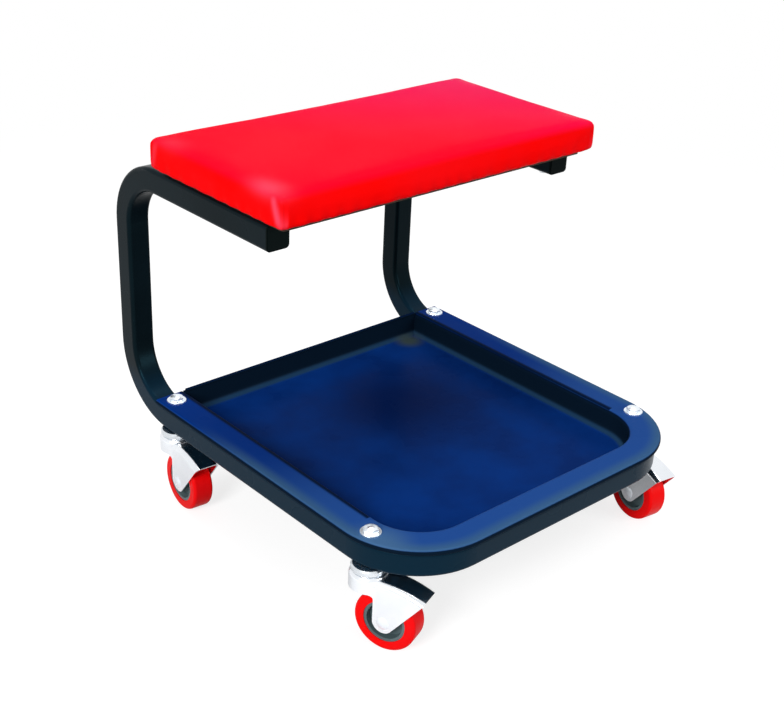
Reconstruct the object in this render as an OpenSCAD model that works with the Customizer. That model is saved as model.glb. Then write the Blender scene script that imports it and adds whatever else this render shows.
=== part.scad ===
// Rolling workshop creeper seat: a padded seat on two cantilever arms, a tool tray between
// the side rails and four swivel casters. Millimetres, +Z up, the open side towards -Y,
// origin on the floor under the middle of the outline.

/* [Frame] */
// Side of the square tube
tube = 25.5; // [20:0.5:30]
// Wall of the square tube
tube_wall = 1.5; // [1:0.1:2.5]
// Outside corner radius of the square tube
tube_corner = 4; // [3:0.5:6]
// Width over the two side rails
frame_w = 397; // [340:1:460]
// Depth from the front rail's face to the back of the posts
frame_d = 464; // [420:1:540]
// Height from the underside of the rails to the top of the arms
frame_h = 285.5; // [240:0.5:340]
// Centreline radius of the front corners
bend_r = 71.5; // [60:0.5:90]
// Centreline radius of the bends at the foot of the posts
foot_bend_r = 66; // [50:0.5:70]
// Centreline radius of the bends at the top of the posts
top_bend_r = 59; // [50:0.5:70]
// Length of the arms, from the back of the posts to the ends of their tube
arm_len = 258; // [230:0.5:280]
// Thickness of an arm plug's cap
plug_cap = 2.5; // [2:0.1:5]
// Depth that an arm plug reaches into its tube
plug_depth = 14; // [8:1:24]

/* [Tray] */
// Thickness of the tray's sheet
sheet = 1.5; // [1:0.1:2]
// Overhang of the tray's rim past the tubes
rim_over = 4.5; // [2:0.1:5]
// Height of the folded rim, which lies on the tubes and carries the flange
lip_h = 6.5; // [5.5:0.1:8]
// Distance from the edge of the rim's return to the tube's inner side
return_inset = 2.5; // [0:0.5:4]
// Gap between the side rails and the well's walls
side_gap = 4.5; // [1:0.5:20]
// Gap between the front rail and the well's wall
front_gap = 1.5; // [1:0.5:20]
// Length of the tray from the rim's front to its back wall
tray_len = 397.5; // [370:0.5:420]
// Depth of the well from the flange to the floor
tray_depth = 27; // [18:0.5:28]
// Radius between the wall and the flange
tray_bend = 3; // [2:0.5:5]
// Radius between the wall and the floor
tray_fillet = 8; // [4:0.5:10]
// Gap between the tray and the posts
post_gap = 1; // [0.5:0.1:3]
// Radius of the rolled hem along the back wall
hem_r = 1.8; // [1:0.1:2.5]

/* [Seat] */
// Width of the seat
seat_w = 412; // [360:1:460]
// Depth of the seat
seat_d = 209.5; // [180:0.5:230]
// Thickness from the arms to the top of the seat
seat_t = 38; // [28:0.5:60]
// Overhang of the seat past the ends of the arms
seat_over = 29; // [10:0.5:40]
// Corner radius of the seat in plan
seat_corner = 9; // [8.5:0.5:30]
// Radius along the top edge of the seat
seat_edge = 7; // [4:0.5:7.5]
// Height of the cover's lower edge above the arms
cover_gap = 4.2; // [2:0.1:8]
// Thickness of the cover
cover_t = 1.2; // [0.8:0.1:2]
// Thickness of the plywood board
board_t = 12; // [9:0.5:14]
// Distance from the board's edge to the cover's face
board_inset = 11; // [6:0.5:20]
// Distance between the two screws of an arm
screw_pitch = 110; // [60:1:130]
// Diameter of the seat screws
screw_d = 6; // [5:0.5:7]
// Height of a seat screw's head
screw_head_h = 3.6; // [3:0.1:5]

/* [Casters] */
// Height of a caster from the floor to the tube
caster_h = 83.5; // [82:0.5:95]
// Height of the upper race, from the crown to the tube
swivel_gap = 6; // [5.5:0.1:9]
// Diameter of the wheel
wheel_d = 63; // [58:0.5:66]
// Width of the tyre
wheel_w = 22.6; // [18:0.1:23.4]
// Diameter of the hub under the tyre
hub_d = 43; // [38:0.5:48]
// Distance from the kingpin to the axle
trail = 23; // [21:0.5:26]
// Distance from the middle to the front casters' kingpins
front_caster_x = 185.5; // [181:0.5:188]
// Distance from the rim's front to the front casters' kingpins
front_caster_y = 70; // [65:0.5:110]
// Distance from the middle to the rear casters' kingpins
rear_caster_x = 186.5; // [183:0.5:190]
// Distance from the back of the posts to the rear casters' kingpins
rear_caster_y = 86; // [85:0.5:130]
// Diameter of the kingpins
king_d = 8; // [7:0.5:9]
// Diameter of the axle rivets
axle_d = 8; // [6:0.5:9]
// Thickness of the fork's sheet
fork_t = 1.8; // [1.4:0.1:2]
// Width between the legs of the fork
fork_gap = 24.4; // [24.2:0.1:26]
// Radius of the fork's crown
crown_r = 19; // [18.5:0.5:21]
// Reach of the hood behind the kingpin
hood_reach = 63; // [56:0.5:68]
// Height of the crown's skirt
skirt_h = 17.5; // [15:0.5:20]
// Radius of the boss that carries the axle
boss_r = 10.5; // [9:0.5:12]
// Radius along the hood's top edges
hood_edge = 6; // [4:0.5:8]
// Radius of the swivel balls
ball_r = 2.5; // [2:0.1:2.6]
// Number of balls in a swivel race
balls = 14; // [8:1:14]
// Radius of the circle that the balls run on
race_r = 12; // [11.5:0.1:12.4]
// Heading of the front left fork
front_left_angle = -69; // [-180:0.5:180]
// Heading of the front right fork
front_right_angle = -98.5; // [-180:0.5:180]
// Heading of the rear left fork
rear_left_angle = -94.5; // [-180:0.5:180]
// Heading of the rear right fork
rear_right_angle = -100; // [-180:0.5:180]

/* [Fits] */
// Radial clearance of a running fit
run_fit = 0.05; // [0.02:0.01:0.1]
// Radial clearance of a bolt in a drilled hole
bolt_fit = 0.25; // [0.1:0.05:0.5]
// Clearance at the side of a wheel hub
side_fit = 0.3; // [0.1:0.05:0.4]

/* [Hidden] */
$fn = 64;

// frame
rim_front = -(frame_d + rim_over) / 2;
front_y = rim_front + rim_over;
back_y = -rim_front;
side_x = frame_w / 2 - tube / 2;
rail_z = caster_h + tube / 2;
rail_top = caster_h + tube;
arm_top = caster_h + frame_h;
arm_z = arm_top - tube / 2;
post_y = back_y - tube / 2;
arm_end = back_y - arm_len;
corner_x = side_x - bend_r;
corner_y = front_y + tube / 2 + bend_r;
foot_y = post_y - foot_bend_r;
foot_z = rail_z + foot_bend_r;
top_y = post_y - top_bend_r;
top_z = arm_z - top_bend_r;

// tray
flange_z = rail_top + lip_h;
floor_z = flange_z - tray_depth;
rim_r = bend_r + tube / 2 + rim_over;
rim_x = corner_x + rim_r;
well_x = side_x - tube / 2 - side_gap - sheet;
well_front = front_y + tube + front_gap + sheet;
well_r = well_x - corner_x;
well_corner_y = well_front + well_r;
tray_back = rim_front + tray_len;
foot_in = foot_bend_r - tube / 2;
foot_rise = lip_h - sheet - post_gap;
notch_y = foot_y + sqrt(pow(foot_in, 2) - pow(foot_in - foot_rise, 2));

// seat
seat_front = arm_end - plug_cap - seat_over;
seat_back = seat_front + seat_d;
seat_top = arm_top + seat_t;
cover_z = arm_top + cover_gap;
board_top = arm_top + board_t;
screw_y = [seat_front + seat_d / 2 - screw_pitch / 2, seat_front + seat_d / 2 + screw_pitch / 2];
screw_tip = board_top - 1;
tee_flange_t = 1.2;
tee_flange_r = screw_d * 1.5;
tee_barrel_r = screw_d / 2 + 1;

// casters
king_r = king_d / 2;
axle_r = axle_d / 2;
wheel_r = wheel_d / 2;
king_pos = [
  [-front_caster_x, rim_front + front_caster_y, front_left_angle],
  [front_caster_x, rim_front + front_caster_y, front_right_angle],
  [-rear_caster_x, back_y - rear_caster_y, rear_left_angle],
  [rear_caster_x, back_y - rear_caster_y, rear_right_angle]
];
crown_z = caster_h - swivel_gap;
crown_in = crown_z - fork_t;
crown_edge = 5;
skirt_z = crown_z - skirt_h;
ball_z = crown_z + ball_r / 2;
race_body = crown_z + 2.2;
race_skirt = crown_z + 0.8;
race_out = crown_r - 1.5;
groove_r = ball_r + run_fit;
hood_r = 108;
hood_y = 20;
hood_z = crown_z - 2.5 - hood_r;
fork_w = fork_gap + 2 * fork_t;
king_washer_t = 1.5;
king_head_h = 5.3;
sleeve_r = axle_r + 2;
washer_t = 1.8;
washer_r = 10;
nut_hex = 3.2;
nut_h = 5.2;
nut_wall = 1.6;
king_top = flange_z + washer_t + nut_h - nut_wall;

// ---------- shared shapes ----------

// rounded square, centred
module square_section(s, r) {
  square([s - 2 * r, s], center = true);
  square([s, s - 2 * r], center = true);
  for (i = [-1, 1], j = [-1, 1])
    translate([i * (s / 2 - r), j * (s / 2 - r)])
      circle(r);
}

// quarter bend of a square section, from angle a0 to a0 + 90
module bend(r, a0, s, c) {
  rotate([0, 0, a0])
    rotate_extrude(angle = 90, $fn = 128)
      translate([r, 0])
        square_section(s, c);
}

// straight square section along +Z
module straight(len, s, c) {
  linear_extrude(len)
    square_section(s, c);
}

// the bent run of one side: arm, top bend, post, foot bend, side rail, front corner
module side_run(s, c, past) {
  translate([side_x, arm_end - past, arm_z])
    rotate([-90, 0, 0])
      straight(top_y - arm_end + past, s, c);
  translate([side_x, top_y, top_z])
    rotate([90, 0, 90])
      bend(top_bend_r, 0, s, c);
  translate([side_x, post_y, foot_z])
    straight(top_z - foot_z, s, c);
  translate([side_x, foot_y, foot_z])
    rotate([90, 0, 90])
      bend(foot_bend_r, -90, s, c);
  translate([side_x, corner_y, rail_z])
    rotate([-90, 0, 0])
      straight(foot_y - corner_y, s, c);
  translate([corner_x, corner_y, rail_z])
    bend(bend_r, -90, s, c);
}

// the whole bent tube as a solid bar of the given section
module bent_bar(s, c, past) {
  for (m = [0, 1])
    mirror([m, 0, 0])
      side_run(s, c, past);
  translate([-corner_x, front_y + tube / 2, rail_z])
    rotate([0, 90, 0])
      straight(2 * corner_x, s, c);
}

// outline with rounded front corners, square at the back
module front_rounded(x, y0, y1, r) {
  translate([-x, y0 + r])
    square([2 * x, y1 - y0 - r]);
  translate([-x + r, y0])
    square([2 * x - 2 * r, r + 1]);
  for (i = [-1, 1])
    translate([i * (x - r), y0 + r])
      circle(r, $fn = 128);
}

// sweeps a profile round the front and both sides of the well
module sweep_edge(cx, cy, y1) {
  for (m = [0, 1])
    mirror([m, 0, 0]) {
      translate([cx, cy, 0])
        rotate([0, 0, -90])
          rotate_extrude(angle = 90, $fn = 128)
            children();
      translate([cx, y1, 0])
        rotate([90, 0, 0])
          linear_extrude(y1 - cy)
            children();
    }
  translate([-cx, cy, 0])
    rotate([90, 0, 90])
      mirror([1, 0, 0])
        linear_extrude(2 * cx)
          children();
}

// block with rounded corners in plan and a rounded top edge
module cushion_block(x, y0, y1, z0, z1, rc, re) {
  translate([0, 0, z0])
    linear_extrude(z1 - re - z0)
      plan(x, y0, y1, rc);
  translate([0, 0, z0])
    linear_extrude(z1 - z0)
      plan(x - re, y0 + re, y1 - re, rc - re);
  for (i = [-1, 1], j = [0, 1])
    translate([i * (x - rc), j == 0 ? y0 + rc : y1 - rc, z1 - re])
      rotate([0, 0, i == 1 ? (j == 0 ? -90 : 0) : (j == 0 ? 180 : 90)])
        rotate_extrude(angle = 90)
          translate([rc - re, 0])
            quarter(re);
  for (i = [0, 1])
    mirror([i, 0, 0])
      translate([x - re, y1 - rc, z1 - re])
        rotate([90, 0, 0])
          linear_extrude(y1 - y0 - 2 * rc)
            quarter(re);
  translate([-x + rc, y1 - re, z1 - re])
    rotate([90, 0, 90])
      linear_extrude(2 * (x - rc))
        quarter(re);
  translate([x - rc, y0 + re, z1 - re])
    rotate([90, 0, -90])
      linear_extrude(2 * (x - rc))
        quarter(re);
}

module quarter(r) {
  intersection() {
    circle(r);
    square(r);
  }
}

module plan(x, y0, y1, r) {
  translate([-x + r, y0])
    square([2 * x - 2 * r, y1 - y0]);
  translate([-x, y0 + r])
    square([2 * x, y1 - y0 - 2 * r]);
  for (i = [-1, 1], y = [y0 + r, y1 - r])
    translate([i * (x - r), y])
      circle(r);
}

// ---------- frame ----------

module frame_tube() {
  color("#1d2329")
    difference() {
      bent_bar(tube, tube_corner, 0);
      bent_bar(tube - 2 * tube_wall, tube_corner - tube_wall, 1);
      for (k = king_pos)
        translate([k[0], k[1], caster_h - 1])
          cylinder(r = king_r + bolt_fit, h = tube + 2);
      for (i = [-1, 1], y = screw_y)
        translate([i * side_x, y, arm_top - tube - 1])
          cylinder(r = screw_d / 2 + bolt_fit, h = tube + 2);
    }
}

// plug that closes the free end of an arm, with four ribs that grip the bore
module arm_plug(side) {
  bore = tube - 2 * tube_wall;
  translate([side * side_x, arm_end, arm_z])
    rotate([90, 0, 0]) {
      straight(plug_cap - 1, tube, tube_corner);
      straight(plug_cap, tube - 2, tube_corner - 1);
      translate([0, 0, -plug_depth])
        difference() {
          straight(plug_depth, bore - 1, tube_corner - tube_wall);
          translate([0, 0, -1])
            straight(plug_depth - 1, bore - 5, 1);
        }
      for (a = [0, 90, 180, 270])
        rotate([0, 0, a])
          translate([-1, bore / 2 - 1, 1 - plug_depth])
            cube([2, 1, plug_depth - 1]);
    }
}

module left_arm_plug() {
  color("#16181a")
    arm_plug(-1);
}

module right_arm_plug() {
  color("#16181a")
    arm_plug(1);
}

// ---------- tray ----------

// wall of the well with its bend to the flange and its fillet to the floor; x from the corner's centre
module well_profile() {
  r1 = tray_bend;
  r2 = tray_fillet;
  // bend over to the flange
  translate([well_r + r1 + sheet, flange_z - sheet - r1])
    difference() {
      intersection() {
        circle(r1 + sheet);
        translate([-r1 - sheet, 0])
          square(r1 + sheet);
      }
      circle(r1);
    }
  // wall
  translate([well_r, floor_z + r2])
    square([sheet, tray_depth - r2 - sheet - r1]);
  // fillet
  translate([well_r - r2, floor_z + r2])
    difference() {
      intersection() {
        circle(r2 + sheet);
        translate([0, -r2 - sheet])
          square(r2 + sheet);
      }
      circle(r2);
    }
  // floor
  translate([0, floor_z - sheet])
    square([well_r - r2, sheet]);
}

// rim folded down and back under the flange; x from the corner's centre
module rim_profile() {
  r = lip_h / 2;
  translate([rim_r - r, rail_top + r])
    difference() {
      intersection() {
        circle(r);
        translate([0, -r])
          square([r, lip_h]);
      }
      circle(r - sheet);
    }
  translate([rim_r - rim_over - tube + return_inset, rail_top])
    square([rim_over + tube - return_inset - r, sheet]);
}

// wedge that the back wall is mitred into
module back_wedge() {
  w = well_x + sheet;
  d = tray_fillet + 8 * sheet;
  translate([0, 0, floor_z - sheet - 1])
    linear_extrude(tray_depth + sheet + 2)
      polygon([[-w, tray_back], [w, tray_back], [w - d, tray_back - d], [d - w, tray_back - d]]);
}

module tool_tray() {
  mouth = tray_bend + sheet;
  color("#23407c")
    difference() {
      union() {
        difference() {
          union() {
            sweep_edge(corner_x, well_corner_y, tray_back)
              well_profile();
            translate([-corner_x, well_corner_y, floor_z - sheet])
              cube([2 * corner_x, tray_back - well_corner_y, sheet]);
          }
          back_wedge();
        }
        intersection() {
          translate([-well_x - sheet, tray_back - sheet - well_r, 0])
            rotate([90, 0, 90])
              linear_extrude(2 * (well_x + sheet)) {
                translate([well_r, floor_z + tray_fillet])
                  square([sheet, tray_depth - tray_fillet]);
                translate([well_r - tray_fillet, floor_z + tray_fillet])
                  difference() {
                    intersection() {
                      circle(tray_fillet + sheet);
                      translate([0, -tray_fillet - sheet])
                        square(tray_fillet + sheet);
                    }
                    circle(tray_fillet);
                  }
                translate([0, floor_z - sheet])
                  square([well_r - tray_fillet, sheet]);
              }
          back_wedge();
        }
        sweep_edge(corner_x, corner_y, tray_back)
          rim_profile();
        translate([0, 0, flange_z - sheet])
          linear_extrude(sheet)
            difference() {
              front_rounded(rim_x - lip_h / 2, rim_front + lip_h / 2, tray_back, rim_r - lip_h / 2);
              front_rounded(well_x + mouth, well_front - mouth, tray_back + 1, well_r + mouth);
            }
        translate([-well_x + hem_r, tray_back - sheet / 2, flange_z])
          rotate([0, 90, 0])
            cylinder(r = hem_r, h = 2 * (well_x - hem_r));
      }
      for (k = king_pos)
        translate([k[0], k[1], rail_top - 1])
          cylinder(r = king_r + bolt_fit, h = lip_h + 2);
      // the return stops where the feet of the posts begin to rise, the flange further back
      for (m = [0, 1])
        mirror([m, 0, 0]) {
          translate([side_x - tube / 2 - post_gap, foot_y, rail_top - 1])
            cube([tube + rim_over + post_gap + 1, frame_d, 1 + sheet + post_gap]);
          translate([side_x - tube / 2 - post_gap, notch_y, rail_top - 1])
            cube([tube + rim_over + post_gap + 1, frame_d, lip_h + 2]);
        }
    }
}

// ---------- seat ----------

module board_block() {
  translate([0, 0, arm_top])
    linear_extrude(board_t)
      plan(seat_w / 2 - board_inset, seat_front + board_inset, seat_back - board_inset, seat_corner - 5);
}

module foam_block() {
  cushion_block(seat_w / 2 - cover_t, seat_front + cover_t, seat_back - cover_t,
    cover_z + cover_t, seat_top - cover_t, seat_corner - cover_t, seat_edge - cover_t);
}

module seat_board() {
  color("#4a3526")
    difference() {
      board_block();
      for (i = [-1, 1], y = screw_y)
        translate([i * side_x, y, arm_top - 1])
          cylinder(r = tee_barrel_r, h = board_t + 2);
    }
}

module seat_foam() {
  color("#d8c68a")
    difference() {
      foam_block();
      board_block();
      for (i = [-1, 1], y = screw_y)
        translate([i * side_x, y, board_top - 1])
          cylinder(r = tee_flange_r, h = 1 + tee_flange_t);
    }
}

module seat_cover() {
  color("#e01018")
    difference() {
      cushion_block(seat_w / 2, seat_front, seat_back, cover_z, seat_top, seat_corner, seat_edge);
      foam_block();
      translate([0, 0, cover_z - 1])
        linear_extrude(cover_t + 2)
          plan(seat_w / 2 - board_inset, seat_front + board_inset, seat_back - board_inset,
            seat_corner - 5);
    }
}

module seat_screws() {
  color("#b9bcc0")
    for (i = [-1, 1], y = screw_y)
      translate([i * side_x, y, 0]) {
        translate([0, 0, arm_top - tube - 0.01])
          cylinder(r = screw_d / 2, h = screw_tip - arm_top + tube + 0.01);
        translate([0, 0, arm_top - tube - screw_head_h])
          difference() {
            union() {
              translate([0, 0, 1])
                cylinder(r = screw_d * 0.9, h = screw_head_h - 1);
              cylinder(r1 = screw_d * 0.9 - 1, r2 = screw_d * 0.9, h = 1);
            }
            translate([0, 0, -1])
              cylinder(r = screw_d / 3, h = 3, $fn = 6);
          }
      }
}

module seat_tee_nuts() {
  color("#b9bcc0")
    for (i = [-1, 1], y = screw_y)
      translate([i * side_x, y, 0])
        difference() {
          union() {
            translate([0, 0, arm_top + 1])
              cylinder(r = tee_barrel_r, h = board_t - 1);
            translate([0, 0, board_top])
              cylinder(r = tee_flange_r, h = tee_flange_t);
          }
          translate([0, 0, arm_top])
            cylinder(r = screw_d / 2, h = board_t + 3);
        }
}

// ---------- caster hardware on the tray ----------

module caster_washers() {
  color("#c9ccd0")
    for (k = king_pos)
      translate([k[0], k[1], flange_z])
        difference() {
          union() {
            cylinder(r = washer_r, h = washer_t - 0.4);
            cylinder(r = washer_r - 0.4, h = washer_t);
          }
          translate([0, 0, -1])
            cylinder(r = king_r + bolt_fit, h = washer_t + 2);
        }
}

// low hexagon nut with a closed dome
module caster_cap_nuts() {
  af = king_d * 1.625;
  base = af / 2 - 0.3;
  rise = nut_h - nut_hex;
  dome_r = (base * base + rise * rise) / (2 * rise);
  color("#c9ccd0")
    for (k = king_pos)
      translate([k[0], k[1], flange_z + washer_t])
        difference() {
          union() {
            intersection() {
              cylinder(r = af / sqrt(3), h = nut_hex, $fn = 6);
              rotate_extrude()
                polygon([[0, 0], [af / 2, 0], [af / sqrt(3), 0.6], [af / sqrt(3), nut_hex - 0.6],
                  [af / 2, nut_hex], [0, nut_hex]]);
            }
            intersection() {
              translate([0, 0, nut_h - dome_r])
                sphere(dome_r);
              translate([0, 0, nut_hex - 0.1])
                cylinder(r = af / 2, h = rise + 1);
            }
          }
          translate([0, 0, -1])
            cylinder(r = king_r, h = nut_h - nut_wall + 1);
        }
}

// ---------- caster parts, kingpin at the origin, trailing towards +X ----------

module at_caster(i) {
  translate([king_pos[i][0], king_pos[i][1], 0])
    rotate([0, 0, king_pos[i][2]])
      children();
}

// bolt that carries the swivel and passes up through rail, tray and washer
module kingpin() {
  head_z = crown_in - run_fit - king_washer_t - king_head_h;
  color("#c2c5c9") {
    translate([0, 0, head_z])
      cylinder(r = king_d * 0.94, h = king_head_h, $fn = 6);
    translate([0, 0, head_z + 1])
      cylinder(r = king_r, h = king_top - head_z - 1);
  }
}

module king_washer() {
  color("#c2c5c9")
    translate([0, 0, crown_in - run_fit - king_washer_t])
      difference() {
        cylinder(r = king_r + 4.5, h = king_washer_t);
        translate([0, 0, -1])
          cylinder(r = king_r, h = king_washer_t + 2);
      }
}

// pressed cup that holds the balls against the crown
module upper_race() {
  color("#d3d6da")
    difference() {
      rotate_extrude()
        polygon([[king_r, caster_h], [race_out - 1.5, caster_h], [race_out, caster_h - 1.5],
          [race_out, race_skirt], [race_out - 1.2, race_skirt], [race_out - 1.2, race_body],
          [king_r + 4.6, race_body], [king_r + 4.6, caster_h - 2], [king_r, caster_h - 2]]);
      translate([0, 0, ball_z])
        rotate_extrude()
          translate([race_r, 0])
            circle(groove_r);
    }
}

module swivel_balls() {
  color("#e4e6e8")
    for (k = [0 : balls - 1])
      rotate([0, 0, k * 360 / balls])
        translate([race_r, 0, ball_z])
          sphere(ball_r);
}

// hood: flat top with rounded edges, swept along a shallow arc over the wheel
module hood(w, r, e) {
  low = hood_r - hood_reach - 2;
  translate([hood_y, 0, hood_z])
    rotate([90, 0, 0])
      rotate([0, 0, 60])
        rotate_extrude(angle = 44, $fn = 256)
          union() {
            translate([low, -w / 2])
              square([r - low - e, w]);
            translate([low, -w / 2 + e])
              square([r - low, w - 2 * e]);
            for (i = [-1, 1])
              translate([r - e, i * (w / 2 - e)])
                circle(e);
          }
}

// crown: round drum with a rolled top edge, and necks that blend it into the legs
module crown(r, z, e, w) {
  neck = 6;
  touch = 0.03; // the neck crosses both walls instead of only meeting them
  far = r + neck;
  ny = w / 2 + neck;
  nx = sqrt(far * far - ny * ny);
  translate([0, 0, wheel_r - boss_r - 5])
    cylinder(r = r, h = z - e - (wheel_r - boss_r - 5));
  translate([0, 0, z - e])
    rotate_extrude()
      union() {
        square([r - e, e]);
        translate([r - e, 0])
          quarter(e);
      }
  translate([0, 0, wheel_r - boss_r - 5])
    linear_extrude(z - hood_edge - 3 - (wheel_r - boss_r - 5))
      for (i = [0, 1])
        mirror([0, i])
          difference() {
            polygon([[r * nx / far, 1], [nx, 1], [nx, ny], [r * nx / far, r * ny / far]]);
            translate([nx, ny])
              circle(neck + touch);
          }
}

// outline of the fork seen from the side: crown, legs, axle boss and hood
module fork_outline() {
  cx = trail;
  cz = wheel_r;
  end_x = hood_reach - 2;
  end_z = skirt_z + 3;
  dist = sqrt(pow(end_x - cx, 2) + pow(end_z - cz, 2));
  ang = atan2(end_z - cz, end_x - cx) - acos(boss_r / dist);
  lead = cx - boss_r;
  rf = 6;
  difference() {
    union() {
      translate([-crown_r - 1, skirt_z])
        square([crown_r + 1 + lead, crown_z - skirt_z + 2]);
      translate([lead - rf, skirt_z - rf])
        square([rf + 1, rf + 1]);
      polygon([[lead, cz], [cx, cz], [cx + boss_r * cos(ang), cz + boss_r * sin(ang)],
        [end_x, end_z], [hood_reach, end_z + 3], [hood_reach, crown_z + 2], [lead, crown_z + 2]]);
      translate([cx, cz])
        circle(boss_r);
    }
    translate([lead - rf, skirt_z - rf])
      circle(rf);
  }
}

// one pressed shell: crown with its ball race, hood and two legs
module fork() {
  color("#d9dcdf")
    difference() {
      intersection() {
        union() {
          difference() {
            union() {
              hood(fork_w, hood_r, hood_edge);
              crown(crown_r, crown_z, crown_edge, fork_w);
            }
            hood(fork_gap, hood_r - fork_t, hood_edge - fork_t);
            crown(crown_r - fork_t, crown_in, crown_edge - fork_t, fork_gap);
          }
          // race channel pressed into the crown
          intersection() {
            translate([0, 0, ball_z])
              rotate_extrude()
                translate([race_r, 0])
                  circle(groove_r + fork_t - 0.2);
            cylinder(r = race_out, h = crown_z);
          }
        }
        rotate([90, 0, 0])
          translate([0, 0, -crown_r - 2])
            linear_extrude(2 * crown_r + 4)
              fork_outline();
      }
      translate([0, 0, ball_z])
        rotate_extrude()
          translate([race_r, 0])
            circle(groove_r);
      translate([0, 0, crown_in - 1])
        cylinder(r = king_r + run_fit, h = fork_t + 2);
      translate([trail, 0, wheel_r])
        rotate([90, 0, 0])
          translate([0, 0, -fork_w])
            cylinder(r = axle_r, h = 2 * fork_w);
    }
}

// rivet through legs and sleeve, with a low domed head on each side
module axle_rivet() {
  head_r = axle_r + 2.6;
  head_h = 1.6;
  cap_r = (head_r * head_r + head_h * head_h) / (2 * head_h);
  color("#caced2")
    translate([trail, 0, wheel_r])
      rotate([90, 0, 0]) {
        translate([0, 0, -fork_w / 2])
          cylinder(r = axle_r, h = fork_w);
        for (i = [0, 1])
          mirror([0, 0, i])
            translate([0, 0, fork_w / 2])
              intersection() {
                translate([0, 0, head_h - cap_r])
                  sphere(cap_r, $fn = 96);
                cylinder(r = head_r, h = head_h + 1);
              }
      }
}

module axle_sleeve() {
  color("#9fa3a7")
    translate([trail, 0, wheel_r])
      rotate([90, 0, 0])
        translate([0, 0, -fork_gap / 2])
          difference() {
            cylinder(r = sleeve_r, h = fork_gap);
            translate([0, 0, -1])
              cylinder(r = axle_r, h = fork_gap + 2);
          }
}

// dished plastic centre: boss, thin web with holes and a rim with a keying rib
module wheel_hub() {
  hr = hub_d / 2;
  rim_w = wheel_w - 2;
  boss_w = fork_gap - 2 * side_fit;
  color("#6f777c")
    translate([trail, 0, wheel_r])
      rotate([90, 0, 0])
        rotate_extrude()
          union() {
            translate([sleeve_r + run_fit, -boss_w / 2])
              square([3.4, boss_w]);
            translate([sleeve_r + 3, -2.5])
              square([hr - sleeve_r - 4, 5]);
            translate([hr - 3, -rim_w / 2])
              square([3, rim_w]);
            translate([hr - 1, -3])
              square([2.5, 6]);
          }
}

module wheel_tyre() {
  hr = hub_d / 2;
  e = 3.2;
  color("#e8141c")
    translate([trail, 0, wheel_r])
      rotate([90, 0, 0])
        rotate_extrude()
          difference() {
            union() {
              translate([hr, -wheel_w / 2])
                square([wheel_r - hr - e, wheel_w]);
              translate([hr, -wheel_w / 2 + e])
                square([wheel_r - hr, wheel_w - 2 * e]);
              for (i = [-1, 1])
                translate([wheel_r - e, i * (wheel_w / 2 - e)])
                  circle(e);
            }
            translate([hr - 1, -3])
              square([2.5, 6]);
          }
}

// ---------- the four casters ----------

module front_left_kingpin() {
  at_caster(0)
    kingpin();
}

module front_left_king_washer() {
  at_caster(0)
    king_washer();
}

module front_left_upper_race() {
  at_caster(0)
    upper_race();
}

module front_left_balls() {
  at_caster(0)
    swivel_balls();
}

module front_left_fork() {
  at_caster(0)
    fork();
}

module front_left_axle_rivet() {
  at_caster(0)
    axle_rivet();
}

module front_left_sleeve() {
  at_caster(0)
    axle_sleeve();
}

module front_left_hub() {
  at_caster(0)
    wheel_hub();
}

module front_left_tyre() {
  at_caster(0)
    wheel_tyre();
}

module front_right_kingpin() {
  at_caster(1)
    kingpin();
}

module front_right_king_washer() {
  at_caster(1)
    king_washer();
}

module front_right_upper_race() {
  at_caster(1)
    upper_race();
}

module front_right_balls() {
  at_caster(1)
    swivel_balls();
}

module front_right_fork() {
  at_caster(1)
    fork();
}

module front_right_axle_rivet() {
  at_caster(1)
    axle_rivet();
}

module front_right_sleeve() {
  at_caster(1)
    axle_sleeve();
}

module front_right_hub() {
  at_caster(1)
    wheel_hub();
}

module front_right_tyre() {
  at_caster(1)
    wheel_tyre();
}

module rear_left_kingpin() {
  at_caster(2)
    kingpin();
}

module rear_left_king_washer() {
  at_caster(2)
    king_washer();
}

module rear_left_upper_race() {
  at_caster(2)
    upper_race();
}

module rear_left_balls() {
  at_caster(2)
    swivel_balls();
}

module rear_left_fork() {
  at_caster(2)
    fork();
}

module rear_left_axle_rivet() {
  at_caster(2)
    axle_rivet();
}

module rear_left_sleeve() {
  at_caster(2)
    axle_sleeve();
}

module rear_left_hub() {
  at_caster(2)
    wheel_hub();
}

module rear_left_tyre() {
  at_caster(2)
    wheel_tyre();
}

module rear_right_kingpin() {
  at_caster(3)
    kingpin();
}

module rear_right_king_washer() {
  at_caster(3)
    king_washer();
}

module rear_right_upper_race() {
  at_caster(3)
    upper_race();
}

module rear_right_balls() {
  at_caster(3)
    swivel_balls();
}

module rear_right_fork() {
  at_caster(3)
    fork();
}

module rear_right_axle_rivet() {
  at_caster(3)
    axle_rivet();
}

module rear_right_sleeve() {
  at_caster(3)
    axle_sleeve();
}

module rear_right_hub() {
  at_caster(3)
    wheel_hub();
}

module rear_right_tyre() {
  at_caster(3)
    wheel_tyre();
}

frame_tube();
left_arm_plug();
right_arm_plug();
tool_tray();
seat_board();
seat_foam();
seat_cover();
seat_screws();
seat_tee_nuts();
caster_washers();
caster_cap_nuts();
front_left_kingpin();
front_left_king_washer();
front_left_upper_race();
front_left_balls();
front_left_fork();
front_left_axle_rivet();
front_left_sleeve();
front_left_hub();
front_left_tyre();
front_right_kingpin();
front_right_king_washer();
front_right_upper_race();
front_right_balls();
front_right_fork();
front_right_axle_rivet();
front_right_sleeve();
front_right_hub();
front_right_tyre();
rear_left_kingpin();
rear_left_king_washer();
rear_left_upper_race();
rear_left_balls();
rear_left_fork();
rear_left_axle_rivet();
rear_left_sleeve();
rear_left_hub();
rear_left_tyre();
rear_right_kingpin();
rear_right_king_washer();
rear_right_upper_race();
rear_right_balls();
rear_right_fork();
rear_right_axle_rivet();
rear_right_sleeve();
rear_right_hub();
rear_right_tyre();
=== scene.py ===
import math
import bmesh
import bpy
from mathutils import Matrix, Vector


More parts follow.
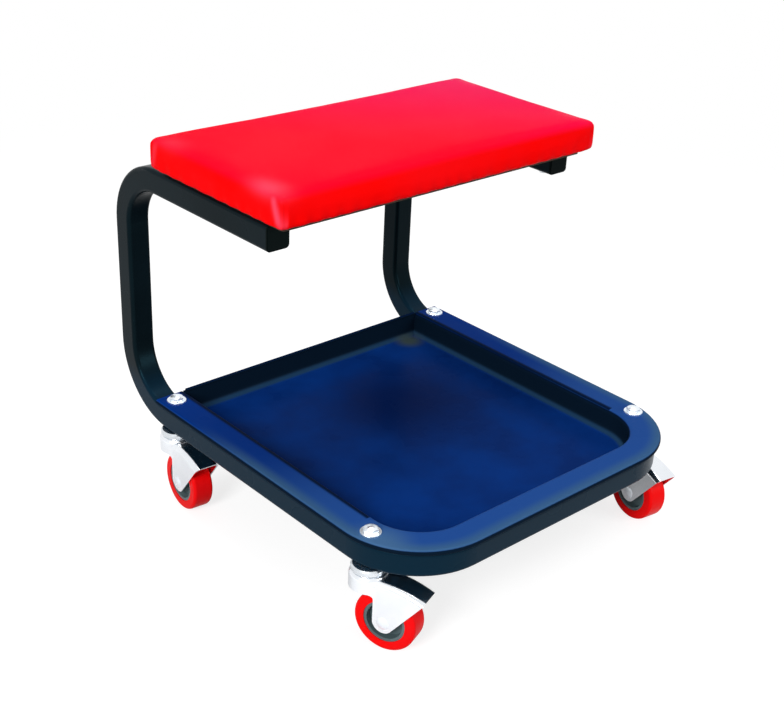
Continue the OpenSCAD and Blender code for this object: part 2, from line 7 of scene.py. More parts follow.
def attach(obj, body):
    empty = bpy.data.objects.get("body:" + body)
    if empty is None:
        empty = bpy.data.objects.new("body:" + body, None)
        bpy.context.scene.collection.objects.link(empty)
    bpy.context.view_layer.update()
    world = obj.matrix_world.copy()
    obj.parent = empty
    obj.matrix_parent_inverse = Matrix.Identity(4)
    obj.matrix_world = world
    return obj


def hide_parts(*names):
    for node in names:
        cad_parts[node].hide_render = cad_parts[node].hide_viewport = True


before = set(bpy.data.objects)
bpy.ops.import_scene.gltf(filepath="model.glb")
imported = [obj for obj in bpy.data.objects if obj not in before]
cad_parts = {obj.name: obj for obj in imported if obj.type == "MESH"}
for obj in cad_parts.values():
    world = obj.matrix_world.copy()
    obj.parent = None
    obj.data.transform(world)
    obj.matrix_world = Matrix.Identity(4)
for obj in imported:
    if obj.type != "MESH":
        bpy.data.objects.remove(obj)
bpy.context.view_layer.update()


# node helpers

def addNode(tree, kind, inputs=None, **settings):
    # each input is linked to a socket or set to a value, and None leaves it as it is
    node = tree.nodes.new(kind)
    for key, value in settings.items():
        setattr(node, key, value)
    for socket, value in (inputs or {}).items():
        if isinstance(value, bpy.types.NodeSocket):
            tree.links.new(value, node.inputs[socket])
        elif value is not None:
            node.inputs[socket].default_value = value
    return node


def valueMath(tree, kind, first, second=None):
    return addNode(tree, "ShaderNodeMath", {0: first, 1: second}, operation=kind).outputs[0]


def vectorMath(tree, kind, first, second=None):
    step = addNode(tree, "ShaderNodeVectorMath", {0: first, 1: second}, operation=kind)
    return step.outputs["Value" if kind in ("LENGTH", "DISTANCE", "DOT_PRODUCT") else "Vector"]


def splitAxis(tree, vector, axis):
    return addNode(tree, "ShaderNodeSeparateXYZ", {0: vector}).outputs[axis]


def mixColours(tree, share, first, second):
    return addNode(tree, "ShaderNodeMix", {0: share, 6: first, 7: second}, data_type="RGBA").outputs[2]


def mixShaders(tree, share, first, second):
    return addNode(tree, "ShaderNodeMixShader", {0: share, 1: first, 2: second}).outputs[0]


# camera and studio

cameraView = {
    "place": (-0.8643, -0.9149, 0.7987),
    "azimuth": -42.794,
    "elevation": 26.687,
    "roll": 2.726,
    "lens": 61.59,
    "sensor": 36.0,
    "nearest": 0.05,
}


def makeCamera(view):
    a, e, r = (math.radians(view[key]) for key in ("azimuth", "elevation", "roll"))
    ahead = Vector((-math.sin(a) * math.cos(e), math.cos(a) * math.cos(e), -math.sin(e)))
    level = Vector((math.cos(a), math.sin(a), 0.0))
    above = level.cross(ahead)
    right = level * math.cos(r) + above * math.sin(r)
    up = above * math.cos(r) - level * math.sin(r)
    data = bpy.data.cameras.new("camera")
    data.lens = view["lens"]
    data.sensor_width = view["sensor"]
    data.clip_start = view["nearest"]
    camera = bpy.data.objects.new("camera", data)
    bpy.context.scene.collection.objects.link(camera)
    turn = Matrix((right, up, -ahead)).transposed().to_4x4()
    camera.matrix_world = Matrix.Translation(Vector(view["place"])) @ turn
    bpy.context.scene.camera = camera


studio = {
    "floorSize": 9.0,
    "floorTone": 0.5,            # what the floor throws back on the object
    "floorShade": 0.36,          # how strongly light and shadow show on it to the camera
    "floorLift": 0.78,           # white laid over that
    "mirrorShade": 0.9,          # the same two in reflections, where the shadow is deeper
    "mirrorLift": 0.12,
    "shadowReach": (0.6, 1.5),   # the shadow fades out between these distances from the middle
    "worldLight": 0.34,
    "lightsAimAt": (0.0, 0.0, 0.2),
    "lights": {
        "keyLight": {"place": (-2.3, -1.0, 1.5), "size": 0.9, "power": 58.0},
        "topLight": {"place": (0.2, 0.3, 2.5), "size": 1.2, "power": 22.0},
        "sideLight": {"place": (0.9, -2.1, 0.9), "size": 0.9, "power": 16.0},
    },
}


def seenMask(tree, path):
    # 1 for what the camera sees, straight or in reflections, and 0 for light thrown on the object
    straight = valueMath(tree, "MAXIMUM", path.outputs["Is Camera Ray"], path.outputs["Is Glossy Ray"])
    return valueMath(tree, "MAXIMUM", straight, path.outputs["Is Transmission Ray"])


def makeFloor(s):
    bpy.ops.mesh.primitive_plane_add(size=s["floorSize"], location=(0, 0, 0))
    floor = bpy.context.object
    floor.name = "floor"
    m = bpy.data.materials.new("floorPaper")
    m.use_nodes = True
    tree = m.node_tree
    tree.nodes.clear()
    path = addNode(tree, "ShaderNodeLightPath")

    def seenOrMirrored(plain, mirror):
        ends = {"Value": path.outputs["Is Glossy Ray"], "To Min": s[plain], "To Max": s[mirror]}
        return addNode(tree, "ShaderNodeMapRange", ends).outputs["Result"]

    paper = addNode(tree, "ShaderNodeBsdfDiffuse", {"Color": (*[s["floorTone"]] * 3, 1)})
    shaded = addNode(tree, "ShaderNodeBsdfDiffuse", {"Color": seenOrMirrored("floorShade", "mirrorShade")})
    glow = addNode(tree, "ShaderNodeEmission", {"Strength": seenOrMirrored("floorLift", "mirrorLift")})
    near = addNode(tree, "ShaderNodeAddShader", {0: shaded.outputs[0], 1: glow.outputs[0]})
    white = addNode(tree, "ShaderNodeEmission")
    away = vectorMath(tree, "LENGTH", addNode(tree, "ShaderNodeTexCoord").outputs["Object"])
    start, end = s["shadowReach"]
    fade = addNode(tree, "ShaderNodeMapRange", {"Value": away, "From Min": start, "From Max": end},
                   interpolation_type="SMOOTHSTEP")
    seen = mixShaders(tree, fade.outputs["Result"], near.outputs[0], white.outputs[0])
    surface = mixShaders(tree, seenMask(tree, path), paper.outputs[0], seen)
    addNode(tree, "ShaderNodeOutputMaterial", {"Surface": surface})
    floor.data.materials.append(m)


def makeWorld(s):
    world = bpy.data.worlds.new("studio")
    bpy.context.scene.world = world
    world.use_nodes = True
    tree = world.node_tree
    tree.nodes.clear()
    white = (1, 1, 1, 1)
    lit = addNode(tree, "ShaderNodeBackground", {"Color": white, "Strength": s["worldLight"]})
    seen = addNode(tree, "ShaderNodeBackground", {"Color": white, "Strength": 1.0})
    mask = seenMask(tree, addNode(tree, "ShaderNodeLightPath"))
    surface = mixShaders(tree, mask, lit.outputs[0], seen.outputs[0])
    addNode(tree, "ShaderNodeOutputWorld", {"Surface": surface})


def makeLight(name, light, target):
    data = bpy.data.lights.new(name, "AREA")
    data.shape = "SQUARE"
    data.size = light["size"]
    data.energy = light["power"]
    lamp = bpy.data.objects.new(name, data)
    bpy.context.scene.collection.objects.link(lamp)
    lamp.location = light["place"]
    lamp.rotation_euler = (Vector(target) - Vector(light["place"])).to_track_quat("-Z", "Y").to_euler()


makeCamera(cameraView)
makeFloor(studio)
makeWorld(studio)
for name, light in studio["lights"].items():
    makeLight(name, light, studio["lightsAimAt"])
bpy.context.scene.view_settings.view_transform = "Standard"
print("studio ready")


# shared effects: node groups that give heights, masks and colours

effects = {
    "driftDetail": 4.0, "driftSpread": (0.35, 0.65),    # only the middle of the noise's range is used
    "leatherWarp": 160.0, "leatherWarpShare": 0.003,    # what makes the leather's cells uneven
    "leatherValley": 0.28,                              # how far a valley reaches into its cell
    "rolledDetail": 5.0,
}


def newGroup(name, inputs, outputs):
    # an input without a value is a vector, one with four values a colour, and the rest are numbers
    g = bpy.data.node_groups.new(name, "ShaderNodeTree")
    for label, value in inputs.items():
        kind = "Vector" if value is None else "Color" if isinstance(value, tuple) else "Float"
        socket = g.interface.new_socket(label, in_out="INPUT", socket_type="NodeSocket" + kind)
        if value is not None:
            socket.default_value = value
    for label, kind in outputs.items():
        g.interface.new_socket(label, in_out="OUTPUT", socket_type="NodeSocket" + kind)
    return g, g.nodes.new("NodeGroupInput").outputs, g.nodes.new("NodeGroupOutput").inputs


def makeGrainGroup():
    labels = {"Vector": None, "Scale": 600.0, "Detail": 2.0}
    g, given, result = newGroup("fineGrain", labels, {"Height": "Float"})
    noise = addNode(g, "ShaderNodeTexNoise", {label: given[label] for label in labels})
    g.links.new(noise.outputs["Fac"], result["Height"])
    return g


def makeDriftGroup():
    # one colour and roughness drifting softly into another
    g, given, result = newGroup(
        "toneDrift",
        {"Vector": None, "Scale": 8.0, "Colour": (0.5, 0.5, 0.5, 1), "Second Colour": (0.4, 0.4, 0.4, 1),
         "Rough Low": 0.3, "Rough High": 0.4},
        {"Colour": "Color", "Roughness": "Float"},
    )
    noise = addNode(g, "ShaderNodeTexNoise", {
        "Vector": given["Vector"], "Scale": given["Scale"], "Detail": effects["driftDetail"]})
    low, high = effects["driftSpread"]
    spread = addNode(g, "ShaderNodeMapRange", {
        "Value": noise.outputs["Fac"], "From Min": low, "From Max": high})
    share = spread.outputs["Result"]
    rough = addNode(g, "ShaderNodeMapRange", {
        "Value": share, "To Min": given["Rough Low"], "To Max": given["Rough High"]})
    g.links.new(mixColours(g, share, given["Colour"], given["Second Colour"]), result["Colour"])
    g.links.new(rough.outputs["Result"], result["Roughness"])
    return g


def makeZoneGroup():
    # 0 at the first level of a value and 1 at the second, with soft ends
    g, given, result = newGroup("softZone", {"Value": 0.0, "From": 0.0, "To": 1.0}, {"Mask": "Float"})
    ramp = addNode(g, "ShaderNodeMapRange", {
        "Value": given["Value"], "From Min": given["From"], "From Max": given["To"],
    }, interpolation_type="SMOOTHSTEP")
    g.links.new(ramp.outputs["Result"], result["Mask"])
    return g


def makeLeatherGroup():
    # uneven cells with fine valleys between them
    g, given, result = newGroup("leatherGrain", {"Vector": None, "Scale": 700.0}, {"Height": "Float"})
    warp = addNode(g, "ShaderNodeTexNoise", {"Vector": given["Vector"], "Scale": effects["leatherWarp"]})
    push = addNode(g, "ShaderNodeMix", {
        0: effects["leatherWarpShare"], 4: given["Vector"], 5: warp.outputs["Color"]}, data_type="VECTOR")
    cells = addNode(g, "ShaderNodeTexVoronoi", {
        "Vector": push.outputs[1], "Scale": given["Scale"]}, feature="DISTANCE_TO_EDGE")
    soft = addNode(g, "ShaderNodeMapRange", {
        "Value": cells.outputs["Distance"], "From Max": effects["leatherValley"]})
    g.links.new(soft.outputs["Result"], result["Height"])
    return g


def makeRolledGroup():
    # marks drawn out along the steel
    labels = {"Vector": None, "Scale": 60.0, "Stretch": 12.0}
    g, given, result = newGroup("rolledSteel", labels, {"Height": "Float"})
    split = addNode(g, "ShaderNodeSeparateXYZ", {0: given["Vector"]})
    join = addNode(g, "ShaderNodeCombineXYZ", {
        "X": split.outputs["X"], "Y": split.outputs["Y"],
        "Z": valueMath(g, "MULTIPLY", split.outputs["Z"], given["Stretch"])})
    noise = addNode(g, "ShaderNodeTexNoise", {
        "Vector": join.outputs[0], "Scale": given["Scale"], "Detail": effects["rolledDetail"]})
    g.links.new(noise.outputs["Fac"], result["Height"])
    return g


toneDrift = makeDriftGroup()
softZone = makeZoneGroup()
reliefs = {"grain": makeGrainGroup(), "leather": makeLeatherGroup(), "rolled": makeRolledGroup()}


# finishes

tray = {                                        # where its second tones lie
    "cornerStart": (0.1142, 0.1455, 0.0),       # half width and front reach where the flange starts to turn
    "cornerRadius": 0.0888,
    "sideStart": -0.145,                        # where the well's sides start, behind its front corners
    "patches": {                                # middles of the round patches
        "seatShade": (0.032, 0.046, 0.0),            # painted shade: the floor darker under the seat, standing for the seat's dark underside reflected there
        "cornerGlint": (0.148, 0.150, 0.0),           # painted highlight on the floor in the back right corner
        "glare": (-0.194, -0.182, 0.0),         # paler flange outside the front left nut
    },
    "onFlange": (0.1140, 0.1150),               # pairs of heights between which a tone comes in
    "aboveFloor": (0.105, 0.110),
    "nearFloor": (0.105, 0.100),
    "onFloor": (0.098, 0.094),
    "flangeLitBlue": (0.0012, 0.030, 0.210),       # the flange's tone, paler than the well's floor: painted light
}
seatTop = (0.3975, 0.4055)                      # heights between which the painted sheen of the seat's top comes in


def nearRim(tree, place):
    # 1 along the flange's outer edge, round its front corners too
    right = vectorMath(tree, "MULTIPLY", place, (1.0, -1.0, 0.0))
    left = vectorMath(tree, "MULTIPLY", place, (-1.0, -1.0, 0.0))
    folded = vectorMath(tree, "MAXIMUM", right, left)
    past = vectorMath(tree, "SUBTRACT", folded, tray["cornerStart"])
    outwards = vectorMath(tree, "MAXIMUM", past, (0.0, 0.0, 0.0))
    share = 1.0 / tray["cornerRadius"]
    return vectorMath(tree, "LENGTH", vectorMath(tree, "MULTIPLY", outwards, (share, share, 0.0)))


def fromMiddle(tree, place):
    # how far out to either side, and out of reach ahead of the well's sides
    sideways = valueMath(tree, "ABSOLUTE", splitAxis(tree, place, "X"))
    ahead = valueMath(tree, "LESS_THAN", splitAxis(tree, place, "Y"), tray["sideStart"])
    return valueMath(tree, "ADD", sideways, ahead)


def zoneValue(tree, kind, place):
    # what a second tone comes in by
    if kind == "height":
        return splitAxis(tree, place, "Z")
    if kind == "slope":                         # 1 where it faces up and 0 where it is upright
        return splitAxis(tree, addNode(tree, "ShaderNodeNewGeometry").outputs["Normal"], "Z")
    if kind == "along":                         # from front to back
        return splitAxis(tree, place, "Y")
    if kind == "toCorner":                      # towards the back right corner
        return vectorMath(tree, "DOT_PRODUCT", place, (1.0, 1.0, 0.0))
    if kind == "rim":
        return nearRim(tree, place)
    if kind == "side":
        return fromMiddle(tree, place)
    flat = vectorMath(tree, "MULTIPLY", place, (1.0, 1.0, 0.0))
    return vectorMath(tree, "DISTANCE", flat, tray["patches"][kind])    # from the middle of a round patch


def zoneMask(tree, value, levels):
    low, high = levels
    zone = addNode(tree, "ShaderNodeGroup", {"Value": value, "From": low, "To": high}, node_tree=softZone)
    return zone.outputs["Mask"]


def addZones(tree, place, shade, zones):
    for kind, levels, colour, *heights in zones:
        mask = zoneMask(tree, zoneValue(tree, kind, place), levels)
        if heights:                             # and only over these heights
            mask = valueMath(tree, "MULTIPLY", mask, zoneMask(tree, splitAxis(tree, place, "Z"), heights[0]))
        shade = mixColours(tree, mask, shade, (*colour, 1))
    return shade


def addPaintedHighlight(tree, shader, shade, paintedHighlight):
    # painted highlight: paler colour where the corners catch the light, with more gloss there too
    highlightMask = addNode(tree, "ShaderNodeAttribute", attribute_name=paintedHighlight["attribute"]).outputs["Fac"]
    tree.links.new(valueMath(tree, "MULTIPLY", highlightMask, paintedHighlight["coat"]), shader.inputs["Coat Weight"])
    shader.inputs["Coat Roughness"].default_value = paintedHighlight["coatRough"]
    return mixColours(tree, highlightMask, shade, (*paintedHighlight["colour"], 1))


def addRelief(tree, place, relief):
    normal = None
    for kind, scale, depth in relief:
        effect = addNode(tree, "ShaderNodeGroup", {"Vector": place, "Scale": scale}, node_tree=reliefs[kind])
        bump = addNode(tree, "ShaderNodeBump", {
            "Height": effect.outputs["Height"], "Distance": depth, "Strength": 1.0, "Normal": normal})
        normal = bump.outputs["Normal"]
    return normal


def newFinish(name, spec):
    m = bpy.data.materials.new(name)
    m.use_nodes = True
    tree = m.node_tree
    shader = tree.nodes["Principled BSDF"]
    place = addNode(tree, "ShaderNodeTexCoord").outputs["Object"]
    low, high = spec["rough"]
    drift = addNode(tree, "ShaderNodeGroup", {
        "Vector": place, "Scale": spec["driftScale"], "Rough Low": low, "Rough High": high,
        "Colour": (*spec["colour"], 1), "Second Colour": (*spec["second"], 1),
    }, node_tree=toneDrift)
    shade = addZones(tree, place, drift.outputs["Colour"], spec.get("zones", []))
    if "paintedHighlight" in spec:
        shade = addPaintedHighlight(tree, shader, shade, spec["paintedHighlight"])
    tree.links.new(shade, shader.inputs["Base Color"])
    tree.links.new(drift.outputs["Roughness"], shader.inputs["Roughness"])
    tree.links.new(addRelief(tree, place, spec["relief"]), shader.inputs["Normal"])
    for label, value in spec.get("plain", {}).items():
        shader.inputs[label].default_value = value
    return m


# zones: what the tone comes in by, where it starts and is full, its colour, and the heights it keeps to
# relief: its kind, scale and depth
finishes = {
    "framePaint": {
        "colour": (0.0022, 0.0050, 0.0062), "second": (0.0032, 0.0075, 0.0100),
        "driftScale": 9.0, "rough": (0.22, 0.32),
        "plain": {"Specular IOR Level": 0.06, "Specular Tint": (0.2, 0.7, 1.0, 1)},
        # painted reflection: the lower frame and its rails are bluer and paler than the posts, standing for
        # the pale floor that shows in them
        "zones": [("height", (0.14, 0.112), (0.0036, 0.0165, 0.0320))],
        "relief": [("grain", 420.0, 0.00002)],
    },
    "plugPlastic": {
        "colour": (0.0020, 0.0045, 0.0045), "second": (0.003, 0.006, 0.006),
        "driftScale": 9.0, "rough": (0.45, 0.55),
        "plain": {"Specular IOR Level": 0.02},
        "relief": [("grain", 1800.0, 0.00004)],
    },
    "trayPaint": {
        "colour": (0.0018, 0.021, 0.135), "second": (0.0024, 0.031, 0.190),
        "driftScale": 17.0, "rough": (0.25, 0.4),
        "plain": {"Specular IOR Level": 0.006},
        # painted shade: the floor darker in a round patch under the seat
        "zones": [("seatShade", (0.115, 0.015), (0.0010, 0.011, 0.078)),
                  # painted light: the flange paler than the well's floor below it
                  ("height", (0.108, 0.1145), tray["flangeLitBlue"]),
                  # painted highlight along the bends at the foot of the well's walls
                  ("slope", (0.997, 0.80), (0.012, 0.042, 0.095), tray["nearFloor"]),
                  # painted highlight: a paler round patch on the floor in the back right corner
                  ("cornerGlint", (0.024, 0.004), (0.040, 0.062, 0.066), tray["onFloor"]),
                  # painted shade: the well's upright walls darker above its floor
                  ("slope", (0.998, 0.93), (0.001, 0.006, 0.022), tray["aboveFloor"]),
                  # painted light: the flange paler towards the front
                  ("along", (0.03, -0.11), (0.0140, 0.062, 0.250), tray["onFlange"]),
                  # painted highlight along the flange's outer edge, round its front corners too
                  ("rim", (0.820, 0.975), (0.034, 0.097, 0.215), tray["onFlange"]),
                  ("along", (-0.03, 0.11), tray["flangeLitBlue"], tray["onFlange"]),
                  ("glare", (0.044, 0.006), (0.048, 0.120, 0.250), tray["onFlange"]),
                  # painted shade: dark at flange height inside the side flanges' inner edges, at the back
                  # wall's top too
                  ("side", (0.1755, 0.1720), (0.001, 0.008, 0.035), tray["onFlange"]),
                  # painted shade on every upright face, the rim's underside too
                  ("slope", (0.7, 0.25), (0.003, 0.010, 0.022))],
        "relief": [("grain", 380.0, 0.00002)],
    },
    "plywood": {
        # dark stained board, its darkness partly painted shade: its edge under the cushion stands for the
        # shadow gap over the arms
        "colour": (0.030, 0.019, 0.012), "second": (0.060, 0.038, 0.023),
        "driftScale": 60.0, "rough": (0.6, 0.8),
        "plain": {"Specular IOR Level": 0.2},
        "relief": [("grain", 900.0, 0.0001)],
    },
    "foam": {
        "colour": (0.75, 0.62, 0.34), "second": (0.8, 0.68, 0.42),
        "driftScale": 40.0, "rough": (0.9, 0.95),
        "relief": [("grain", 1500.0, 0.0003)],
    },
    "seatVinyl": {
        "colour": (0.94, 0.0012, 0.0010), "second": (0.92, 0.0025, 0.0040),
        "driftScale": 12.0, "rough": (0.38, 0.46),
        "plain": {"Specular IOR Level": 0.006,
                  "Sheen Weight": 0.018, "Sheen Roughness": 0.4, "Sheen Tint": (1.0, 0.05, 0.5, 1)},
        # painted sheen: the seat's top pinker than its sides, and pinker still towards the back right corner
        "zones": [("height", seatTop, (0.92, 0.0016, 0.018)),
                  ("toCorner", (-0.05, 0.42), (0.86, 0.0065, 0.105), seatTop)],
        # painted highlight: the corners paler where they catch the light, by the share kept on the cushion's
        # points
        "paintedHighlight": {"attribute": "highlightShare", "colour": (0.96, 0.055, 0.12), "coat": 0.35, "coatRough": 0.3},
        "relief": [("leather", 900.0, 0.00006), ("grain", 250.0, 0.00005)],
    },
    "zinc": {
        "colour": (0.66, 0.70, 0.74), "second": (0.74, 0.78, 0.82),
        "driftScale": 30.0, "rough": (0.2, 0.3),
        "plain": {"Metallic": 1.0},
        "relief": [("grain", 500.0, 0.000015)],
    },
    "forkZinc": {
        "colour": (0.80, 0.84, 0.88), "second": (0.87, 0.90, 0.94),
        "driftScale": 25.0, "rough": (0.12, 0.2),
        "plain": {"Metallic": 1.0},
        "relief": [("rolled", 60.0, 0.00002)],
    },
    "brightZinc": {
        "colour": (0.80, 0.86, 0.92), "second": (0.86, 0.91, 0.96),
        "driftScale": 40.0, "rough": (0.3, 0.38),
        "plain": {"Metallic": 1.0},
        "relief": [("grain", 700.0, 0.00001)],
    },
    "ballSteel": {
        "colour": (0.72, 0.73, 0.75), "second": (0.78, 0.79, 0.81),
        "driftScale": 40.0, "rough": (0.06, 0.1),
        "plain": {"Metallic": 1.0},
        "relief": [("grain", 900.0, 0.000004)],
    },
    "hubPlastic": {
        "colour": (0.075, 0.115, 0.125), "second": (0.11, 0.155, 0.165),
        "driftScale": 20.0, "rough": (0.42, 0.5),
        "plain": {"Specular IOR Level": 0.3},
        "relief": [("grain", 1500.0, 0.00003)],
    },
    "tyreRed": {
        "colour": (0.92, 0.002, 0.002), "second": (0.86, 0.003, 0.005),
        "driftScale": 20.0, "rough": (0.32, 0.4),
        "plain": {"Specular IOR Level": 0.06},
        "relief": [("grain", 900.0, 0.00002)],
    },
}
finish = {name: newFinish(name, spec) for name, spec in finishes.items()}
print("finishes ready")


# mesh helpers

def selectWhere(obj, kind, test):
    bpy.context.view_layer.objects.active = obj
    bpy.ops.object.mode_set(mode="EDIT")
    bpy.ops.mesh.select_mode(type=kind)
    bpy.ops.mesh.select_all(action="DESELECT")
    shape = bmesh.from_edit_mesh(obj.data)
    for item in {"VERT": shape.verts, "EDGE": shape.edges, "FACE": shape.faces}[kind]:
        if test(item):
            item.select_set(True)
    shape.select_flush_mode()
    bmesh.update_edit_mesh(obj.data)


def only(obj):
    bpy.ops.object.select_all(action="DESELECT")
    obj.select_set(True)
    bpy.context.view_layer.objects.active = obj


def applyNew(obj, name, kind, **values):
    step = obj.modifiers.new(name, kind)
    for key, value in values.items():
        setattr(step, key, value)
    only(obj)
    bpy.ops.object.modifier_apply(modifier=name)


nearby = 1e-4       # what counts as the same place
upright = 0.1       # and as an upright face, by its normal's height


def outerEdge(edge, level):
    return all(abs(v.co.z - level) < nearby for v in edge.verts) and any(
        abs(f.normal.z) < upright for f in edge.link_faces)


def ease(low, high, x):
    t = min(1.0, max(0.0, (x - low) / (high - low)))
    return t * t * (3 - 2 * t)


# seat cushion: foam block under a vinyl cover, pulled down over the board and pleated at its corners

seatCushion = {
    "halfWidth": 0.2063, "front": -0.0557, "back": 0.1546, "bottom": 0.3730, "top": 0.4073,
    "slack": 0.0014,                              # it starts this much smaller, and swells
    "corner": 0.003, "edge": 0.005, "underEdge": 0.001,
    "voxel": 0.004, "smoothTimes": 2, "smoothShare": 0.5,
    "frames": 20, "cap": 0.0022,                  # how long it swells, and how far at most
    "quality": 6, "pressure": 4.0, "mass": 0.3,
    "tension": 20, "compression": 20, "shear": 8, "bending": 1.0,
    "cornerHold": 0.030, "footHold": 0.004,       # the folded corners and the foot are stiffer
    "topFade": (-0.010, 0.001),                   # from the top, where folds start to fade and are gone
    "footFade": (-0.002, 0.010),                  # from the bottom, where folds begin and are full
    "pleatAngles": ((28, -1), (64, 1)),           # degrees round a corner, and which way the pleat faces
    "pleatReach": 0.009, "pleatFade": (0.3, 0.75),
    "pleatRise": 0.0010, "riseLength": 0.003, "riseFade": 0.0012,
    "pleatGroove": 0.0014, "grooveWidth": 0.0010,
    "puckerDepth": 0.0005, "puckerPitch": 0.021, "puckerDrift": (41.0, 1.7), "puckerHeight": 0.020,
    "highlightFrontLeft": 0.62, "highlightOtherCorners": 0.22,    # strength of the painted highlight: the front left corner, the rest
    "highlightInset": (0.008, 0.030, 0.001),           # the painted highlight's middle from the end, the side and the top
    "highlightSize": (0.013, 0.022, 0.008),
    "foldStart": 0.003, "foldSlant": 0.012,       # painted highlight of a fold over the seat's end: where it sits at its foot, and its lean
    "foldWidth": 0.0042, "foldTop": 0.75, "foldHighlight": 1.35,
}


def cushionBlank(c):
    slack = c["slack"]
    width = 2 * (c["halfWidth"] - slack)
    depth = c["back"] - c["front"] - 2 * slack
    height = c["top"] - c["bottom"] - slack
    middle = (0, (c["front"] + c["back"]) / 2, c["bottom"] + height / 2)
    bpy.ops.object.select_all(action="DESELECT")
    bpy.ops.mesh.primitive_cube_add(size=1, location=middle, scale=(width, depth, height))
    pad = bpy.context.object
    bpy.ops.object.transform_apply(location=True, rotation=False, scale=True)
    selectWhere(pad, "EDGE", lambda e: abs(e.verts[0].co.z - e.verts[1].co.z) > height * 0.9)
    bpy.ops.mesh.bevel(offset=c["corner"], segments=4, affect="EDGES")
    for level, offset, segments in ((c["bottom"] + height, c["edge"], 4), (c["bottom"], c["underEdge"], 2)):
        selectWhere(pad, "EDGE", lambda e: outerEdge(e, level))
        bpy.ops.mesh.bevel(offset=offset, segments=segments, affect="EDGES")
    bpy.ops.object.mode_set(mode="OBJECT")
    return pad


def inflate(pad, c):
    rest = [v.co.copy() for v in pad.data.vertices]
    middle = (c["front"] + c["back"]) / 2
    halfDepth = (c["back"] - c["front"]) / 2
    hold = pad.vertex_groups.new(name="hold")
    for v in pad.data.vertices:
        fromEnd = c["halfWidth"] - abs(v.co.x)
        fromSide = halfDepth - abs(v.co.y - middle)
        stiff = 1 - ease(0.0, c["cornerHold"], math.hypot(fromEnd, fromSide))
        if v.co.z < c["bottom"] + c["footHold"]:
            stiff = 1.0
        hold.add([v.index], stiff, "REPLACE")
    cloth = pad.modifiers.new("cloth", "CLOTH")
    feel = cloth.settings
    feel.quality = c["quality"]
    feel.mass = c["mass"]
    feel.tension_stiffness = c["tension"]
    feel.compression_stiffness = c["compression"]
    feel.shear_stiffness = c["shear"]
    feel.bending_stiffness = c["bending"]
    feel.use_pressure = True
    feel.uniform_pressure_force = c["pressure"]
    feel.effector_weights.gravity = 0
    feel.vertex_group_mass = "hold"
    feel.pin_stiffness = 1.0
    cloth.collision_settings.use_collision = False
    cloth.point_cache.frame_start = 1
    cloth.point_cache.frame_end = c["frames"]
    for step in range(1, c["frames"] + 1):
        bpy.context.scene.frame_set(step)
    only(pad)
    bpy.ops.object.modifier_apply(modifier="cloth")
    for v, was in zip(pad.data.vertices, rest):
        move = v.co - was
        v.co = was + move * (c["cap"] / (c["cap"] + move.length))
    bpy.context.scene.frame_set(1)


def puckerPull(c, run, z):
    # cover drawn in by its staples: shallow puckers that fade upwards
    rate, swing = c["puckerDrift"]
    wave = math.sin(run * 2 * math.pi / c["puckerPitch"] + math.sin(run * rate) * swing)
    return c["puckerDepth"] * wave * (1 - ease(c["bottom"], c["bottom"] + c["puckerHeight"], z))


def pleatMove(c, angle, out):
    # each pleat is a raised lip that ends in a groove
    move = 0.0
    for fold, way in c["pleatAngles"]:
        past = (angle - fold) * way * math.pi / 180 * out
        if past < 0:
            move += c["pleatRise"] * math.exp(past / c["riseLength"]) * (1 - ease(-c["riseFade"], 0.0, past))
        move -= c["pleatGroove"] * math.exp(-(past / c["grooveWidth"]) ** 2)
    return move


def paintedHighlightAt(c, fromEnd, fromSide, z, highlightStrength, foot):
    # painted highlight: a soft patch on the shoulder of each corner, longer along the seat's end
    offsets = zip((fromEnd, fromSide, c["top"] - z), c["highlightInset"], c["highlightSize"])
    highlight = highlightStrength * math.exp(-sum(((far - inset) / size) ** 2 for far, inset, size in offsets))
    if fromEnd < c["pleatReach"]:
        # painted highlight of a fold slanting over the end, nearer the corner at its foot
        rise = (z - c["bottom"]) / (c["top"] - c["bottom"])
        ridge = math.exp(-((fromSide - c["foldStart"] - c["foldSlant"] * rise) / c["foldWidth"]) ** 2)
        highlight = max(highlight, c["foldHighlight"] * highlightStrength * ridge * foot * (1 - ease(c["foldTop"], 1.0, rise)))
    return highlight


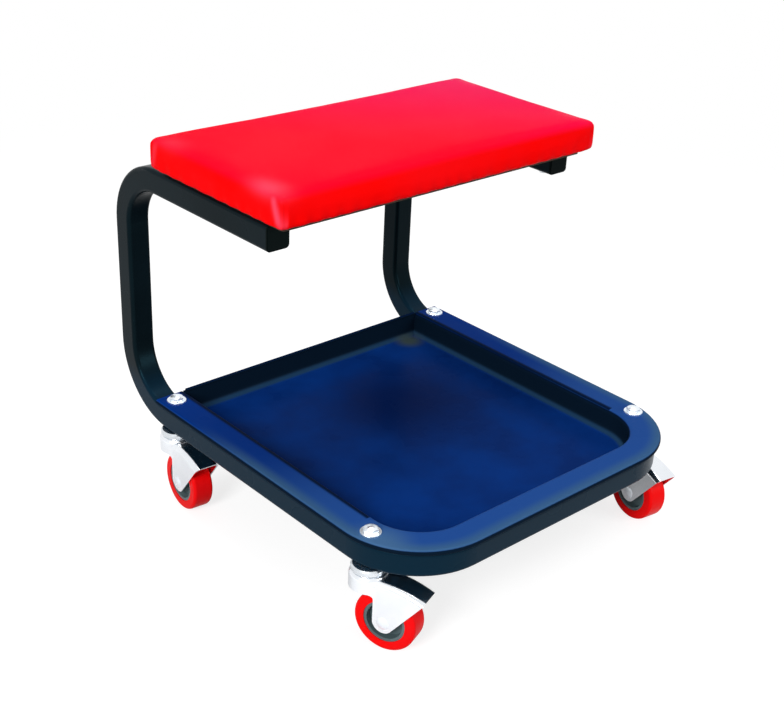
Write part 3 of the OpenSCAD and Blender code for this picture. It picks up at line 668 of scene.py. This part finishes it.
def pleat(pad, c):
    middle = (c["front"] + c["back"]) / 2
    halfDepth = (c["back"] - c["front"]) / 2
    reach = c["pleatReach"]
    highlightAttr = pad.data.attributes.new("highlightShare", "FLOAT", "POINT")    # how strong the painted highlight is at each point
    for v in pad.data.vertices:
        x, y, z = v.co
        sideX = 1 if x > 0 else -1
        sideY = 1 if y > middle else -1
        fromEnd = c["halfWidth"] - abs(x)
        fromSide = halfDepth - abs(y - middle)
        dx = reach - fromEnd
        dy = reach - fromSide
        side = 1 - ease(c["top"] + c["topFade"][0], c["top"] + c["topFade"][1], z)
        foot = ease(c["bottom"] + c["footFade"][0], c["bottom"] + c["footFade"][1], z)
        if dx > 0 and dy < 0:
            v.co.x += sideX * side * puckerPull(c, y, z)
        if dy > 0 and dx < 0:
            v.co.y += sideY * side * puckerPull(c, x, z)
        out = math.hypot(dx, dy)
        if dx > -reach and dy > -reach and out > nearby:
            low, high = c["pleatFade"]
            fade = side * foot * ease(reach * low, reach * high, out)
            move = pleatMove(c, math.degrees(math.atan2(dy, dx)), out)
            v.co.x += sideX * dx / out * move * fade
            v.co.y += sideY * dy / out * move * fade
        # share of painted highlight at this point
        highlightStrength = c["highlightFrontLeft"] if x < 0 and y < middle else c["highlightOtherCorners"]
        highlightAttr.data[v.index].value = paintedHighlightAt(c, fromEnd, fromSide, z, highlightStrength, foot)


def makeCushion(c):
    pad = cushionBlank(c)
    pad.name = "seatCushion"
    applyNew(pad, "voxels", "REMESH", mode="VOXEL", voxel_size=c["voxel"])
    inflate(pad, c)
    applyNew(pad, "soft", "SMOOTH", factor=c["smoothShare"], iterations=c["smoothTimes"])
    applyNew(pad, "finer", "SUBSURF", levels=1, render_levels=1)
    pleat(pad, c)
    bpy.ops.object.shade_smooth()
    pad.data.materials.append(finish["seatVinyl"])
    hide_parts("seat_cover", "seat_foam")
    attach(pad, "frame")


makeCushion(seatCushion)
print("cushion ready")


# CAD nodes that keep their own shape

casterNames = ["front_left", "front_right", "rear_left", "rear_right"]
nodeFinish = {
    "frame_tube": "framePaint", "left_arm_plug": "plugPlastic", "right_arm_plug": "plugPlastic",
    "tool_tray": "trayPaint", "seat_board": "plywood", "seat_foam": "foam", "seat_cover": "seatVinyl",
    "seat_screws": "zinc", "seat_tee_nuts": "zinc",
    "caster_washers": "brightZinc", "caster_cap_nuts": "brightZinc",
}
casterFinish = {
    "kingpin": "zinc", "king_washer": "zinc", "upper_race": "zinc", "balls": "ballSteel",
    "fork": "forkZinc", "axle_rivet": "brightZinc", "sleeve": "zinc", "hub": "hubPlastic", "tyre": "tyreRed",
}
for corner in casterNames:
    nodeFinish.update({f"{corner}_{part}": name for part, name in casterFinish.items()})
for node, name in nodeFinish.items():
    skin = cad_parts[node].data.materials
    skin.clear()
    skin.append(finish[name])
print("nodes painted")
